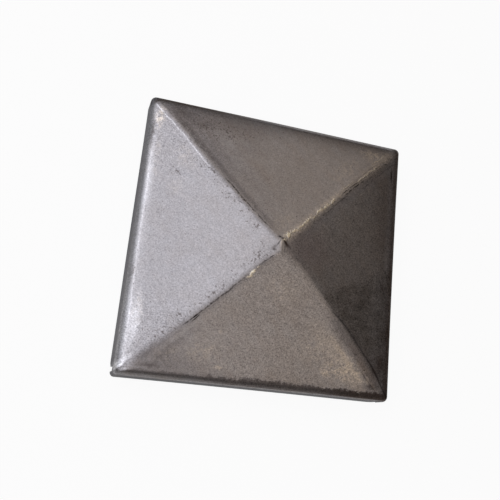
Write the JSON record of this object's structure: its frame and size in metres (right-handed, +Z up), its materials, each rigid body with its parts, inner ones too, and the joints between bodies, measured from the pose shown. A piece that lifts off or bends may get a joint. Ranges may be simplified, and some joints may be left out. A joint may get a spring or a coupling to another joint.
{
  "type": "post cap",
  "caption": "Square post cap pressed from one steel sheet: a low blunt pyramid with a rounded rim and short flanges that go over a square post.",
  "frame": {"origin": "middle of the plane that the flanges' lower edges lie in", "axes": "+Z up through the apex, X and Y square to the flanges"},
  "size_m": [0.107, 0.107, 0.0214],
  "materials": {
    "raw_steel": "bare mill steel, satin, with fine dark specks and worn ridges"
  },
  "bodies": {
    "root": {"post_cap": "raw_steel"}
  },
  "joints": []
}
